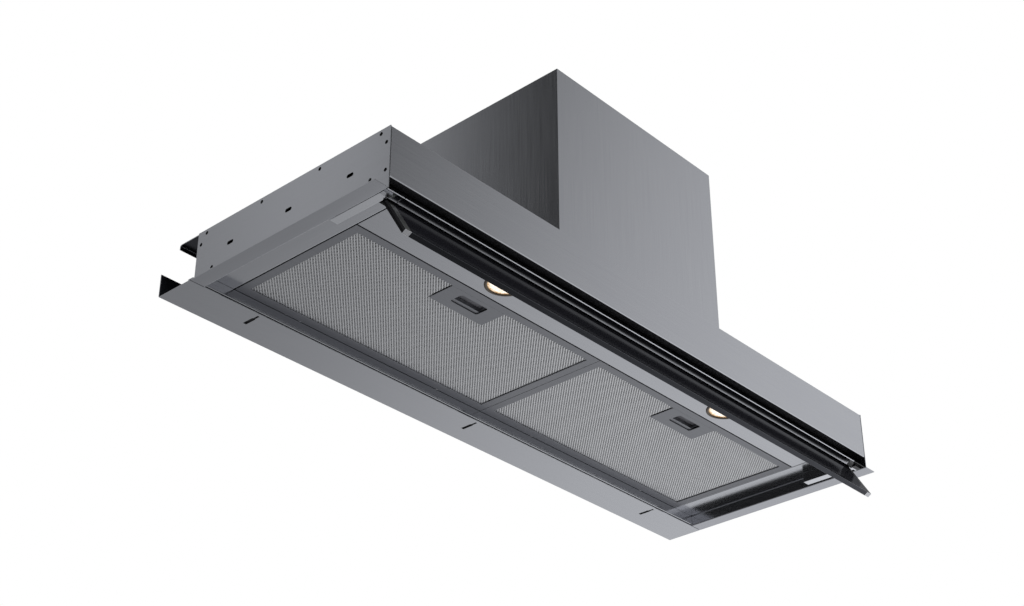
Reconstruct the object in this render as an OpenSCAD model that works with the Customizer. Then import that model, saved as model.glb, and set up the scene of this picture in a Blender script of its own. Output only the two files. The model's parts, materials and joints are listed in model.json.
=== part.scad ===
// Built-in range hood for a 900 mm wall cabinet, seen from below: recessed underside with two mesh
// filters and two round lamps, a glass flap that tilts out under the fascia, and a blower on top.
// X runs along the width, Y from the room to the wall and Z up. The origin is on the wall, half way
// along the width and half way up the strip's upturned flange.

/* [Body] */
// Width over the outer faces of the two end panels
body_w = 860.6; // [840:0.2:880]
// Depth from the face of the fascia to the back of the rear wall
body_d = 280.6; // [270:0.2:300]
// Height from the underside of the flanges to the top plate
body_h = 76; // [70:1:100]
// Thickness of all folded sheet
sheet = 1; // [0.8:0.1:1.2]
// Outer radius of a fold in the sheet
fold_r = 1.8; // [1.5:0.1:2.2]
// Height of the recessed underside above the flanges
recess_z = 14.2; // [13.5:0.1:18]
// Outer radius of the sharper folds at the end panels' flanges and the rear wall's foot
tight_r = 1.3; // [1.25:0.05:1.6]
// Clearance between folded pieces that lie side by side
fit_gap = 0.3; // [0.2:0.05:0.5]

/* [End panels] */
// Width of the outward flange along the bottom of an end panel
flange_w = 18.7; // [12:0.1:30]
// Length of the end panel behind the rear wall
panel_tail = 19.4; // [10:0.1:22]
// Diameter of the rivet holes
rivet_hole_d = 4.4; // [4:0.1:5]
// Length of the slots for the cabinet screws
slot_l = 10; // [8:0.5:14]
// Width of the slots for the cabinet screws
slot_w = 4.4; // [4:0.1:6]
// Distance between the slots
slot_pitch = 93; // [80:1:100]
// Distance of the first slot from the fascia
slot_y = 57; // [50:1:65]
// Height of the slots
slot_z = 41; // [34:1:50]
// Distance of the upper rivets below the top plate
rivet_drop = 5; // [4:0.5:6]
// Distance of the first upper rivet from the fascia
rivet_y = 13.6; // [12:0.1:16]
// Distance between the upper rivets
rivet_pitch = 90.7; // [80:0.1:94]
// Distance of the rivets of the fascia from its face
fascia_rivet_y = 5.2; // [4:0.1:8]
// Heights of the rivets of the fascia
fascia_rivet_z = [23.8, 57.3];
// Distance of the rear wall's rivet behind the rear wall
tail_rivet_y = 13.5; // [8:0.1:14]
// Height of the rear wall's rivet
tail_rivet_z = 59.1; // [50:0.1:62]
// Height of the rivets of the side bars
bar_rivet_z = 21.3; // [20:0.1:24]
// Distance of the first side bar rivet from the fascia
bar_rivet_y = 27; // [25:0.1:28]
// Distance of the last side bar rivet from the rear wall
bar_rivet_end = 8.3; // [7:0.1:20]

/* [Fascia and top] */
// Height of the fascia's lower edge
fascia_z = 14; // [13.5:0.1:20]
// Seam between the fascia and an end panel
fascia_seam = 0.9; // [0.6:0.1:1.2]
// Depth of the fascia's folded returns
fascia_return = 10; // [8:0.5:11]
// Height left below the lower end of the fascia's side return
return_clear = 3; // [2:0.5:6]
// Gap between the wall and the rear edge of the top plate
top_wall_gap = 1; // [0.5:0.5:4]
// Height of the top plate's rear lip
top_lip = 6.2; // [5:0.1:8]
// Height of the top plate's side flanges
top_flange = 9; // [8:0.5:14]
// Diameter of the air opening in the top plate
air_d = 190; // [150:5:220]

/* [Rear wall and filler strip] */
// Length of the rear wall's foot, which carries the strip
foot_l = 38; // [36:0.5:40]
// Height of the strip's upturned flange against the wall
strip_h = 29; // [24:0.5:40]
// Depth of the strip from the seam to the wall
strip_d = 53.8; // [52:0.1:60]
// Seam between the body and the strip
strip_seam = 0.6; // [0.4:0.1:0.8]
// Distance between the strip's stepped slots
strip_pitch = 350; // [250:5:400]
// Width of the wide part of a stepped slot
step_wide = 4.6; // [4:0.1:6]
// Width of the narrow part of a stepped slot
step_narrow = 2.8; // [2.7:0.1:3.6]
// Length of the wide part of a stepped slot
step_wide_l = 16; // [15.5:0.1:17]
// Length of the narrow part of a stepped slot
step_narrow_l = 8; // [7:0.1:8]
// Distance of a stepped slot from the strip's front edge
step_y = 3.8; // [3:0.1:4.5]
// Diameter of the studs that stand in the slots
stud_d = 2.4; // [2:0.1:2.5]
// Distance of the strip's guides from the middle
guide_x = 200; // [120:5:230]
// Length of a guide along the strip
guide_l = 40; // [30:1:60]

/* [Light bar and lamps] */
// Distance of the light bar's rear edge from the fascia
bar_rear_y = 87.3; // [86:0.1:90]
// Distance of the light bar's front edge from the fascia
bar_front_y = 28.8; // [28:0.1:29]
// Height of the light bar's folded edges
bar_edge_h = 11.8; // [10:0.1:14]
// Width of a side bar
side_bar_w = 38.4; // [36:0.1:42]
// Distance of a lamp from the middle
lamp_x = 200; // [160:1:300]
// Distance of a lamp from the fascia
lamp_y = 53.6; // [53:0.1:56]
// Outer diameter of a lamp's bezel
bezel_d = 48.8; // [44:0.2:49]
// Width of the bezel's ring
bezel_ring = 3.6; // [3:0.1:5]
// Depth of the bezel below the light bar
bezel_drop = 1; // [0.6:0.1:1.5]
// Thickness of the lamp's lens
lens_t = 2.2; // [1.6:0.1:3]
// Height of the lamp's module above the light bar
module_h = 22; // [16:1:30]

/* [Front rail and flap trough] */
// Depth of the front rail
rail_d = 11.2; // [10.5:0.1:11.4]
// Distance of the front rail's front edge from the fascia's face
rail_y = 2.2; // [1.8:0.1:2.4]
// Depth of the groove under the rail
groove_h = 2.3; // [1.5:0.1:3]
// Height of the rail's rear edge
rail_edge_h = 9; // [7:0.5:10]
// Length of the corner piece at each end of the rail
corner_l = 24.4; // [20:0.1:30]
// Height of the roof of the flap trough
trough_h = 20; // [18:0.5:24]

/* [Flap] */
// Distance of the flap's hinge axis from the fascia
hinge_y = 24.5; // [23.5:0.1:25]
// Height of the flap's hinge axis
hinge_z = 5.2; // [5:0.1:5.6]
// Angle by which the flap stands open from its closed place
flap_open = 120.8; // [100:0.1:125]
// Distance of the flap's outer face from the hinge axis
flap_drop = 4.6; // [4.4:0.1:4.8]
// Thickness of the flap
flap_t = 5.9; // [4.8:0.1:6]
// Thickness of the glass
glass_t = 3; // [2.5:0.1:3.2]
// Gap between the closed flap and the rear edge of the light bar
flap_end_gap = 0.8; // [0.6:0.1:2]
// Thickness of the strip along the flap's free edge
edge_t = 1.2; // [1:0.1:1.5]
// Width of the flap's end caps
cap_w = 8.8; // [5:0.1:10]
// Distance of the glass from the hinge axis
glass_start = 5.4; // [5:0.1:6]
// Radius of the round back of the flap along the hinge
barrel_r = 4.6; // [4.2:0.1:4.8]
// Diameter of the hinge pins
pin_d = 4; // [3.5:0.1:4]
// Length of a hinge pin
pin_l = 20; // [18:1:24]
// Length of a hinge pin inside the flap
pin_seat = 10; // [8:1:12]
// Running clearance of a hinge pin, on the radius
pin_fit = 0.05; // [0.03:0.01:0.08]
// Length of the touch board
board_l = 120; // [100:5:160]
// Width of the touch board
board_w = 24; // [20:1:28]
// Thickness of the touch board
board_t = 1.2; // [0.8:0.1:1.4]

/* [Hinge covers] */
// Width of a hinge cover
cover_w = 11; // [10:0.1:11.5]
// Height of the underside of a hinge cover
cover_z = 1.6; // [1.4:0.1:1.8]
// Distance of a hinge cover's front from the fascia
cover_y = 17; // [16.5:0.1:18]
// Distance of a hinge cover from the inner face of the end panel
cover_gap = 1.8; // [1:0.1:2]
// Gap between a hinge cover and the flap
cover_flap_gap = 1; // [0.8:0.1:1.2]
// Length of a hinge block
block_l = 22; // [16:1:40]

/* [Filters] */
// Gap round a filter
filter_gap = 0.6; // [0.5:0.05:0.8]
// Height of a filter
filter_h = 9; // [8.6:0.1:11]
// Width of the frame at the sides of the mesh
border_side = 11; // [9:0.1:14]
// Width of the frame in front of the mesh
border_front = 10.2; // [9.5:0.1:11]
// Width of the frame behind the mesh
border_rear = 12.5; // [10:0.1:14]
// Wall of the filter's frame
frame_wall = 1; // [0.8:0.1:1.2]
// Thickness of the face mesh
mesh_t = 0.6; // [0.5:0.1:0.8]
// Thickness of the corrugated sheet above the face mesh
pack_t = 0.5; // [0.4:0.1:0.6]
// Number of the corrugated sheet's waves
pack_waves = 36; // [24:1:44]
// Width of the grip plate
grip_w = 84; // [80:1:100]
// Depth of the grip plate
grip_d = 36.3; // [36:0.1:42]
// Radius of the grip plate's corners
grip_r = 4; // [2:0.5:6]
// Width of the finger opening
pocket_w = 42; // [40:1:60]
// Depth of the finger opening
pocket_d = 18; // [17:0.1:18.5]
// Distance of the finger opening from the front of the grip plate
pocket_y = 6.3; // [6:0.1:6.6]
// Radius of the finger opening's corners
pocket_r = 2.5; // [1:0.5:4]
// Depth of the latch's lip, which shows in the finger opening
latch_t = 6; // [5:0.1:6.5]
// Width of each of the latch's two bolts
bolt_w = 3.5; // [3:0.1:5]
// Height of the latch's bolts
bolt_h = 3; // [2.6:0.1:3.2]
// Width of the latch's spring
spring_w = 6; // [4:0.5:10]
// Length of the latch's spring
spring_l = 9; // [8.5:0.1:9.2]
// Thickness of the latch's spring
spring_t = 0.3; // [0.2:0.05:0.4]
// Distance of a rear tongue from the filter's middle
tongue_x = 110; // [80:1:140]
// Width of a rear tongue
tongue_w = 20; // [14:1:30]
// Length of a rear tongue
tongue_l = 4.3; // [3.6:0.1:4.6]

/* [Blower] */
// Width of the blower housing
housing_w = 298; // [280:1:330]
// Depth of the blower housing
housing_d = 270; // [264:1:280]
// Height of the top of the blower housing
housing_z = 321; // [316:1:330]
// Distance of the blower housing from the fascia
housing_y = 20; // [18:0.5:24]
// Width of the housing's foot
housing_foot = 14; // [12:1:20]
// Distance of the fan's axis from the fascia
fan_y = 110; // [108:1:114]
// Height of the fan's axis
fan_z = 185; // [180:1:200]
// Smallest radius of the scroll
scroll_r = 76; // [74:1:78]
// Growth of the scroll's radius over its turn
scroll_grow = 24; // [20:1:26]
// Width of the scroll
scroll_w = 112; // [106:1:116]
// Wall of the scroll
scroll_wall = 2; // [1.5:0.1:2.5]
// Radius of the scroll's two inlets
inlet_r = 60; // [56:1:62]
// Outer radius of the impeller
impeller_r = 69; // [66:1:70]
// Radial depth of the impeller's blades
blade_d = 13; // [10:1:14]
// Width of the impeller
impeller_w = 92; // [86:1:96]
// Number of blades
blades = 28; // [16:1:36]
// Radius of the fan's shaft
shaft_r = 4; // [3:0.5:5]
// Radius of the motor
motor_r = 40; // [34:1:44]
// Length of the motor
motor_l = 46; // [40:1:48]

/* [Duct collar] */
// Outer radius of the duct collar
collar_r = 74.5; // [74:0.1:75]
// Wall of the duct collar
collar_wall = 1.5; // [1.2:0.1:2]
// Height of the duct collar
collar_h = 44; // [40:1:50]
// Width of the collar's flange
collar_flange = 12; // [11:0.5:14]
// Thickness of the collar's flange and of its ledge
collar_base = 2; // [1.5:0.1:2.5]
// Width of the ledge that the dampers rest on
ledge = 4; // [3:0.5:5]
// Thickness of a damper
damper_t = 1.2; // [1:0.1:1.5]
// Radius of the dampers' spindle
spindle_r = 2; // [1.5:0.1:2.2]

/* [Controls and fasteners] */
// Length of the control box
box_l = 140; // [120:1:160]
// Depth of the control box
box_d = 130; // [110:1:160]
// Height of the control box
box_h = 42; // [36:1:46]
// Distance of the control box from the middle
box_x = 262; // [255:1:270]
// Distance of the control box from the fascia
box_y = 70; // [64:1:80]
// Diameter of the cable gland
gland_d = 16; // [12:1:20]
// Diameter of a screw's shank
screw_d = 4; // [3.5:0.1:4]
// Diameter of a screw's head
screw_head_d = 8; // [7:0.5:9]
// Height of a screw's head
screw_head_h = 2.2; // [1.8:0.1:2.6]

/* [Hidden] */
// Overrun of every cut
over = 0.5 * sheet;
// Small step that keeps a piece joined where it meets itself
lap = 0.2 * sheet;
// Play of a fastener in its hole, on the radius
rivet_play = 0.1 * sheet;
round_fn = 96;
small_fn = 32;
fold_steps = 3;

// Places on the body that follow from the sizes
wall_y = body_d + strip_seam + strip_d;
half_out = body_w / 2;
half_in = half_out - sheet;
half_flange = half_out + flange_w;
wall_in_y = body_d - sheet;
panel_end_y = body_d + panel_tail;
top_end_y = wall_y - top_wall_gap;
fascia_half = half_in - fascia_seam;
inner_half = half_in - fit_gap;
bar_half = inner_half - side_bar_w - filter_gap;
foot_z = sheet + 0.4 * sheet;
tail_z = sheet + 2 * fit_gap;
seam_tab = 4 * sheet;
seam_tab_z = 2 * sheet + fit_gap;
top_joggle = fascia_return + 2 * fit_gap + 2 * sheet;
side_flange_x = inner_half - sheet;
rivet_head_x = side_flange_x - sheet - rivet_play;
between_heads = rivet_head_x - fit_gap;

// Places of the rivets, each as distance from the fascia and height
top_rivets = [for (i = [0:3]) [rivet_y + i * rivet_pitch, body_h - rivet_drop]];
fascia_rivets = [for (z = fascia_rivet_z) [fascia_rivet_y, z]];
bar_rivets = [[bar_rivet_y, bar_rivet_z], [wall_in_y - bar_rivet_end, bar_rivet_z]];
tail_rivets = [[body_d + tail_rivet_y, tail_rivet_z]];
rivet_list = concat(top_rivets, fascia_rivets, bar_rivets, tail_rivets);
rivet_head_r = 0.75 * rivet_hole_d;

// Lamp places
bezel_top = recess_z + 6 * sheet;
lamp_r = bezel_d / 2 - bezel_ring;
barrel_out = bezel_d / 2 - bezel_ring / 2;

// Filters, flap and hinge places
filter_w = bar_half - filter_gap / 2;
filter_x = filter_w / 2 + filter_gap / 2;
filter_y = bar_rear_y + filter_gap;
filter_d = wall_in_y - filter_gap - filter_y;
flap_reach = bar_rear_y - flap_end_gap - hinge_y;
cover_out = half_in - cover_gap;
cover_in = cover_out - cover_w;
flap_half = cover_in - cover_flap_gap;
glass_half = flap_half - cap_w;
glass_play = 0.2 * sheet;
rail_half = inner_half - corner_l;
rail_seam = 0.8 * sheet;
cup_d = pocket_d + sheet + spring_l;
latch_y = border_front + pocket_y + pocket_d + sheet - latch_t;
bolt_z = frame_wall + 2 * sheet;
latch_half = pocket_w / 2 + fit_gap + bolt_w;
bolt_x = latch_half - bolt_w;
lip_z = frame_wall + fit_gap;

// Blower, duct and control places
housing_in_top = housing_z - sheet;
outlet_h = housing_in_top - fan_z;
outlet_r = scroll_r + scroll_grow;
tongue_a = 92;
outlet_y = fan_y + (outlet_r + scroll_r * cos(tongue_a)) / 2;
damper_z = housing_z + 2 * collar_base + fit_gap;
spindle_z = damper_z + spindle_r + 2 * damper_t;
motor_x = 4 * scroll_wall;
bracket_x = scroll_w / 2;
bracket_r = inlet_r + 1.2 * screw_d;
bracket_turns = [30, 150, 270];
housing_screw_share = [-0.9, 0, 0.9];

// Unit vector, left normal, and the point of a mitred offset
function unit(v) = v / norm(v);
function left(v) = [-v[1], v[0]];
function mitre(n, m, d) = (n + m) * d / (1 + n * m);

// Corner b of a path rounded to radius r, as points of an arc
function corner(a, b, c, r) =
    let (u = unit(a - b), w = unit(c - b), h = acos(u * w) / 2, m = b + unit(u + w) * r / sin(h),
         s = b + u * r / tan(h) - m, turn = (u[0] * w[1] - u[1] * w[0] > 0 ? -1 : 1) * (180 - 2 * h))
    [for (i = [0:fold_steps]) let (t = turn * i / fold_steps)
        m + [s[0] * cos(t) - s[1] * sin(t), s[0] * sin(t) + s[1] * cos(t)]];

function rounded(p, r) = concat([p[0]],
    [for (i = [1:len(p) - 2]) each corner(p[i - 1], p[i], p[i + 1], r)], [p[len(p) - 1]]);

function beside(p, d) = [for (i = [0:len(p) - 1])
    let (n = left(unit(i == 0 ? p[1] - p[0] : p[i] - p[i - 1])),
         m = left(unit(i == len(p) - 1 ? p[i] - p[i - 1] : p[i + 1] - p[i])))
    p[i] + mitre(n, m, d)];

function backwards(p) = [for (i = [len(p) - 1:-1:0]) p[i]];

// Section of a folded sheet: the path is one face and the sheet lies to its left
module folded(p, t = sheet, r = fold_r) {
    q = r > 0 ? rounded(p, r) : p;
    polygon(concat(q, backwards(beside(q, t))));
}

// Extrusion along X of a section drawn in Y and Z, from x = a to x = b
module along_x(a, b) {
    translate([a, 0, 0]) rotate([90, 0, 90]) linear_extrude(b - a) children();
}

// Extrusion along Y of a section drawn in X and Z, from y = a to y = b
module along_y(a, b) {
    translate([0, b, 0]) rotate([90, 0, 0]) linear_extrude(b - a) children();
}

// Moves a piece from the fascia's face to the wall, where the origin is
module at_wall() translate([0, -wall_y, -strip_h / 2]) children();

// Right-hand piece for side 1, its mirror image for side -1
module on_side(side) mirror([side < 0 ? 1 : 0, 0, 0]) children();

// Box from its two corners
module block(a, b) translate(a) cube(b - a);

module rod_x(a, b, y, z, r, fn = small_fn) {
    translate([a, y, z]) rotate([0, 90, 0]) cylinder(h = b - a, r = r, $fn = fn);
}

module rod_z(x, y, a, b, r, fn = small_fn) {
    translate([x, y, a]) cylinder(h = b - a, r = r, $fn = fn);
}

module rounded_rect(w, d, r) {
    translate([-w / 2 + r, 0]) square([w - 2 * r, d]);
    translate([-w / 2, r]) square([w, d - 2 * r]);
    for (x = [-1, 1], y = [r, d - r]) translate([x * (w / 2 - r), y]) circle(r, $fn = small_fn);
}

// Body panels

module end_panel(side) color("#8a8b8f") at_wall() on_side(side) difference() {
    union() {
        along_y(0, body_d - fit_gap)
            folded([[half_in, body_h], [half_in, 0], [half_flange, 0]], sheet, tight_r);
        block([half_in, body_d - fit_gap - lap, tail_z], [half_out, panel_end_y, body_h]);
        block([half_out - lap, body_d - seam_tab, sheet - lap], [half_flange, body_d - fit_gap, seam_tab_z]);
        block([half_out - lap, body_d - fit_gap - lap, sheet + fit_gap],
            [half_flange, body_d + seam_tab, seam_tab_z]);
    }
    for (p = rivet_list) rod_x(half_in - over, half_out + over, p[0], p[1], rivet_hole_d / 2);
    for (i = [0:2]) {
        for (e = [-1, 1])
            rod_x(half_in - over, half_out + over,
                slot_y + i * slot_pitch + e * (slot_l - slot_w) / 2, slot_z, slot_w / 2);
        block([half_in - over, slot_y + i * slot_pitch - (slot_l - slot_w) / 2, slot_z - slot_w / 2],
            [half_out + over, slot_y + i * slot_pitch + (slot_l - slot_w) / 2, slot_z + slot_w / 2]);
    }
}

module fascia() color("#9b9da1") at_wall() difference() {
    union() {
        along_x(-fascia_half, fascia_half)
            folded([[fascia_return, body_h], [0, body_h], [0, fascia_z], [fascia_return, fascia_z]]);
        for (side = [-1, 1]) on_side(side)
            block([fascia_half - sheet, sheet - lap, fascia_z + return_clear],
                [fascia_half, fascia_return, body_h - return_clear]);
    }
    for (side = [-1, 1], p = fascia_rivets) on_side(side)
        rod_x(fascia_half - sheet - over, fascia_half + over, p[0], p[1], rivet_hole_d / 2);
}

module top_plate() color("#7d7e83") at_wall() difference() {
    union() {
        along_x(-inner_half, inner_half)
            folded([[top_joggle, body_h - sheet], [top_end_y - sheet, body_h - sheet],
                [top_end_y - sheet, body_h - top_lip]]);
        along_x(-between_heads, between_heads) {
            folded([[2 * sheet, body_h - 2 * sheet - fit_gap],
                [top_joggle + sheet, body_h - 2 * sheet - fit_gap]], sheet, 0);
            translate([top_joggle, body_h - 2 * sheet - fit_gap]) square([sheet, 2 * sheet + fit_gap]);
        }
        for (side = [-1, 1]) on_side(side) {
            block([side_flange_x, fascia_return + 2 * fit_gap, body_h - top_flange],
                [inner_half, top_joggle + sheet, body_h - sheet - fit_gap]);
            block([side_flange_x, top_joggle, body_h - top_flange],
                [inner_half, panel_end_y, body_h - lap]);
        }
    }
    rod_z(0, outlet_y, body_h - 2 * sheet, body_h + over, air_d / 2, round_fn);
    for (side = [-1, 1], p = top_rivets) on_side(side)
        rod_x(side_flange_x - over, inner_half + over, p[0], p[1], rivet_hole_d / 2);
    for (p = housing_screw_places())
        rod_z(p[0], p[1], body_h - 2 * sheet, body_h + over, screw_d / 2 + rivet_play);
}

module rear_wall() color("#77787c") at_wall() difference() {
    union() {
        along_x(-inner_half, inner_half)
            folded([[wall_in_y, body_h - sheet - fit_gap], [wall_in_y, foot_z],
                [body_d + foot_l - sheet, foot_z]], sheet, tight_r);
        for (side = [-1, 1]) on_side(side)
            block([side_flange_x, body_d - lap, tail_rivet_z - 2 * rivet_hole_d],
                [inner_half, body_d + tail_rivet_y + rivet_hole_d, body_h - top_flange - fit_gap]);
    }
    for (side = [-1, 1]) on_side(side)
        block([side_flange_x - fit_gap, wall_in_y - over, body_h - top_flange - fit_gap],
            [inner_half + over, body_d + over, body_h]);
    for (side = [-1, 1], e = [-1, 1])
        translate([side * filter_x + e * tongue_x, 0, 0])
            block([-tongue_w / 2 - 2 * sheet, wall_in_y - over, recess_z + 0.4 * sheet],
                [tongue_w / 2 + 2 * sheet, body_d + over, recess_z + filter_h]);
    for (side = [-1, 1], p = tail_rivets) on_side(side)
        rod_x(side_flange_x - over, inner_half + over, p[0], p[1], rivet_hole_d / 2);
    for (x = strip_places()) rod_z(x, stud_y(), foot_z - over, foot_z + sheet + over, stud_d / 2);
}

module light_bar() color("#97989c") at_wall() difference() {
    along_x(-bar_half, bar_half)
        folded([[bar_front_y, recess_z + bar_edge_h], [bar_front_y, recess_z], [bar_rear_y, recess_z],
            [bar_rear_y, recess_z + bar_edge_h]]);
    for (side = [-1, 1])
        rod_z(side * lamp_x, lamp_y, recess_z - over, recess_z + sheet + over,
            barrel_out, round_fn);
}

module side_bar(side) color("#97989c") at_wall() on_side(side) difference() {
    union() {
        along_y(bar_front_y, wall_in_y - fit_gap)
            folded([[inner_half - side_bar_w, recess_z + bar_edge_h], [inner_half - side_bar_w, recess_z],
                [inner_half, recess_z], [inner_half, recess_z + bar_edge_h]]);
        block([inner_half - sheet, bar_rivet_y - rivet_hole_d, recess_z + fold_r],
            [inner_half, bar_front_y + lap, recess_z + bar_edge_h]);
    }
    for (p = bar_rivets)
        rod_x(inner_half - sheet - over, inner_half + over, p[0], p[1], rivet_hole_d / 2);
}

module flap_trough() color("#1b1b1d") at_wall()
    along_x(-between_heads, between_heads)
        folded([[rail_y + rail_d + sheet, cover_z], [rail_y + rail_d + sheet, trough_h - sheet],
            [bar_front_y - 1.5 * sheet, trough_h - sheet], [bar_front_y - 1.5 * sheet, recess_z]]);

// Front rail: an arched sheet whose rear edge stands up
function groove(w, h) = let (r = (w * w / 4 + h * h) / (2 * h), a = asin(w / 2 / r))
    [for (i = [0:8]) let (t = -a + 2 * a * i / 8) [w / 2 + r * sin(t), r * cos(t) - r + h]];

module rail_section() folded(concat([for (q = groove(rail_d, groove_h)) [rail_y + q[0], q[1]]],
    [[rail_y + rail_d, rail_edge_h]]), sheet, 0);

module front_rail() color("#a2a3a7") at_wall() along_x(-rail_half, rail_half) rail_section();

// End of the rail, with a rounded knuckle that closes the gap to the hinge cover
module rail_corner(side) color("#a2a3a7") at_wall() on_side(side) {
    rail_rear = rail_y + rail_d;
    nose_r = (cover_y - rail_rear - sheet - 2 * fit_gap) / 2;
    nose_y = cover_y - fit_gap - nose_r;
    along_x(rail_half + rail_seam, inner_half) rail_section();
    block([cover_in, rail_rear - rail_d / 2, lap], [inner_half, rail_rear, groove_h + 2 * sheet]);
    block([cover_in + 2 * sheet, rail_rear - lap, lap], [inner_half, nose_y, cover_z - fit_gap]);
    rod_x(cover_in + 2 * sheet, inner_half, nose_y, nose_r + lap, nose_r);
}

// Hinge of the flap

module hinge_cover(side) color("#b4b5b8") at_wall() on_side(side) difference() {
    block([cover_in, cover_y, cover_z], [cover_out, bar_rear_y, recess_z]);
    block([cover_in + sheet, cover_y + sheet, cover_z + sheet],
        [cover_out - sheet, bar_rear_y - sheet, recess_z + over]);
    rod_x(cover_in - over, cover_in + sheet + over, hinge_y, hinge_z, pin_d / 2 + fit_gap);
}

module hinge_block(side) color("#2a2a2c") at_wall() on_side(side) difference() {
    block([cover_in + sheet + rivet_play, cover_y + sheet + fit_gap, cover_z + sheet],
        [cover_out - sheet - rivet_play, cover_y + sheet + fit_gap + block_l, recess_z]);
    rod_x(cover_in, cover_out, hinge_y, hinge_z, pin_d / 2 + pin_fit);
}

// Flap, drawn closed with the hinge axis along X and turned to where it stands open
module flap_place() at_wall() translate([0, hinge_y, hinge_z]) rotate([-flap_open, 0, 0]) children();

module flap_carrier() color("#1d1d20") flap_place() difference() {
    union() {
        rod_x(-flap_half, flap_half, 0, 0, barrel_r, round_fn);
        block([-flap_half, 0, -flap_drop], [flap_half, flap_reach - edge_t, flap_t - flap_drop]);
    }
    block([-flap_half - over, glass_start, -flap_drop - over],
        [flap_half + over, flap_reach, glass_t - flap_drop]);
    block([-board_l / 2 - fit_gap, 2 * glass_start, -flap_drop],
        [board_l / 2 + fit_gap, 2 * glass_start + board_w + 2 * fit_gap, glass_t + board_t - flap_drop]);
    for (e = [-1, 1])
        rod_x(e > 0 ? flap_half - pin_seat : -flap_half - over,
            e > 0 ? flap_half + over : -flap_half + pin_seat, 0, 0, pin_d / 2 + pin_fit / 2);
}

module flap_glass() color("#0e0e10") flap_place()
    block([-glass_half + glass_play, glass_start + glass_play, -flap_drop],
        [glass_half - glass_play, flap_reach - edge_t - glass_play, glass_t - flap_drop]);

module flap_edge_strip() color("#4a4a4d") flap_place()
    block([-glass_half + glass_play, flap_reach - edge_t, -flap_drop],
        [glass_half - glass_play, flap_reach, flap_t - flap_drop]);

module flap_end_cap(side) color("#a8a9ad") flap_place() on_side(side) {
    block([glass_half, glass_start + glass_play, -flap_drop],
        [flap_half, flap_reach - edge_t, glass_t - flap_drop]);
    block([glass_half, flap_reach - edge_t, -flap_drop],
        [flap_half, flap_reach, flap_t - flap_drop]);
}

module flap_pins() color("#b9babd") flap_place() for (e = [-1, 1]) on_side(e)
    rod_x(flap_half - pin_seat, flap_half - pin_seat + pin_l, 0, 0, pin_d / 2);

module touch_board() color("#1f5d3a") flap_place()
    block([-board_l / 2, 2 * glass_start + fit_gap, glass_t - flap_drop],
        [board_l / 2, 2 * glass_start + fit_gap + board_w, glass_t + board_t - flap_drop]);

// Lamps

module lamp_bezel(side) color("#4b4a48") at_wall() translate([side * lamp_x, lamp_y, 0]) difference() {
    union() {
        rod_z(0, 0, recess_z - bezel_drop, recess_z, bezel_d / 2, round_fn);
        rod_z(0, 0, recess_z - lap, bezel_top, barrel_out - rivet_play, round_fn);
    }
    rod_z(0, 0, recess_z - bezel_drop - over, bezel_top + over, lamp_r, round_fn);
}

module lamp_lens(side) color("#f6e3bd") at_wall()
    rod_z(side * lamp_x, lamp_y, recess_z - bezel_drop / 2, recess_z - bezel_drop / 2 + lens_t,
        lamp_r - rivet_play, round_fn);

module lamp_modules() color("#c9cacc") at_wall() for (side = [-1, 1]) {
    rod_z(side * lamp_x, lamp_y, bezel_top, recess_z + module_h, lamp_r, round_fn);
    rod_z(side * lamp_x, lamp_y, recess_z - bezel_drop / 2 + lens_t, bezel_top + lap,
        bezel_d / 3, round_fn);
}

// Filters, drawn with the middle of the front edge at the origin
module filter_place(side) at_wall() translate([side * filter_x, filter_y, recess_z]) children();

module filter_frame(side) color("#7b7c80") filter_place(side) difference() {
    union() {
        block([-filter_w / 2, 0, 0], [filter_w / 2, filter_d, filter_h]);
        for (e = [-1, 1]) translate([e * tongue_x, 0, 0])
            block([-tongue_w / 2, filter_d - sheet, frame_wall + lap],
                [tongue_w / 2, filter_d + tongue_l, 2 * frame_wall + lap]);
    }
    block([frame_wall - filter_w / 2, frame_wall, frame_wall],
        [filter_w / 2 - frame_wall, filter_d - frame_wall, filter_h - frame_wall]);
    block([border_side - filter_w / 2, border_front, -over],
        [filter_w / 2 - border_side, filter_d - border_rear, filter_h + over]);
    for (e = [-1, 1]) on_side(e)
        block([bolt_x - fit_gap, -over, bolt_z - fit_gap],
            [latch_half + fit_gap, frame_wall + over, bolt_z + bolt_h + fit_gap]);
}

// Room in the mesh and in the pack for the grip and its cup
module grip_room() block([-grip_w / 2 - sheet, -over, -filter_h],
    [grip_w / 2 + sheet, border_front + grip_d, 2 * filter_h]);

module filter_mesh(side) color("#9a9b9f") filter_place(side) difference() {
    block([frame_wall - filter_w / 2 + fit_gap, frame_wall + fit_gap, frame_wall],
        [filter_w / 2 - frame_wall - fit_gap, filter_d - frame_wall - fit_gap, frame_wall + mesh_t]);
    grip_room();
}

// Corrugated sheet that fills the room between the face mesh and the top of the frame
module filter_pack(side) color("#b5b6b8") filter_place(side) difference() {
    wave = (filter_w - 2 * frame_wall - 2 * fit_gap - 2 * pack_t) / pack_waves;
    room = filter_h - 2 * frame_wall - mesh_t;
    rise = room - pack_t * norm([wave / 2, room]) / (wave / 2);
    along_y(frame_wall + fit_gap, filter_d - frame_wall - fit_gap)
        folded([for (i = [0:2 * pack_waves]) [(i - pack_waves) * wave / 2,
            frame_wall + mesh_t + (i % 2 == 0 ? 0 : rise)]], pack_t, 0);
    grip_room();
}

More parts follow.
